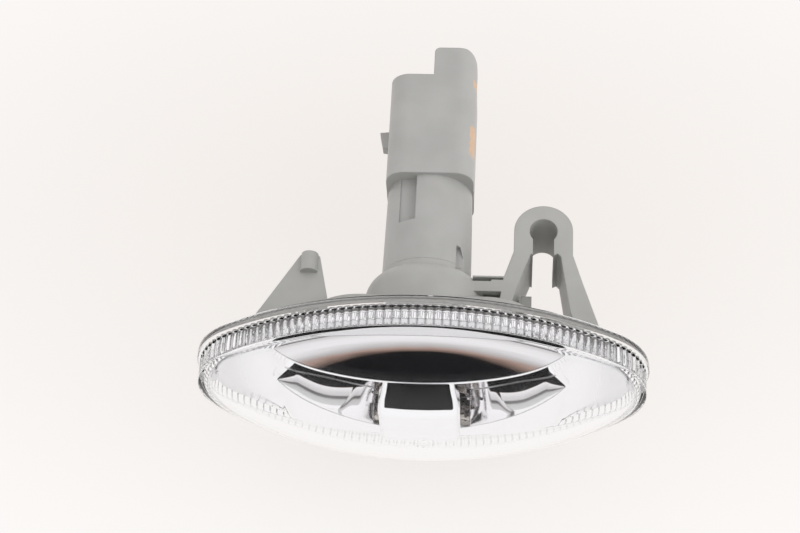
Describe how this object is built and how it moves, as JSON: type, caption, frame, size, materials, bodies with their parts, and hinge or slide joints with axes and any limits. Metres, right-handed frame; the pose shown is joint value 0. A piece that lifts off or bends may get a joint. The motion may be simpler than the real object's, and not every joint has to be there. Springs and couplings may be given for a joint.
{
  "type": "side repeater lamp",
  "caption": "Oval clear-lens side repeater lamp with a bright reflector, amber wedge bulb, grey snap-in housing and plug-in bulb holder with connector.",
  "frame": {"origin": "centre of the oval rim, in the plane of its back edge that seats on the car's wing", "axes": "+X along the oval's long axis, towards the spring clip; +Y out of the seat towards the connector, so the lens bulges towards -Y; +Z along the oval's short axis"},
  "size_m": [0.075, 0.0737, 0.046],
  "materials": {
    "lens": "clear polished acrylic",
    "reflector": "bright metallised plastic",
    "housing": "grey moulded plastic, fine satin",
    "bulb_holder": "light grey moulded plastic, fine satin",
    "holder_seal": "black rubber",
    "contact": "tinned brass strip",
    "bulb_envelope": "amber glass",
    "filament": "dull tungsten wire",
    "lead": "dull nickel wire"
  },
  "bodies": {
    "root": {"lens": "lens", "reflector": "reflector", "housing": "housing", "bulb_holder": "bulb_holder", "holder_seal": "holder_seal", "contact_left": "contact", "contact_right": "contact", "bulb_envelope": "bulb_envelope", "bulb_filament": "filament", "bulb_lead_left": "lead", "bulb_lead_right": "lead"}
  },
  "joints": []
}
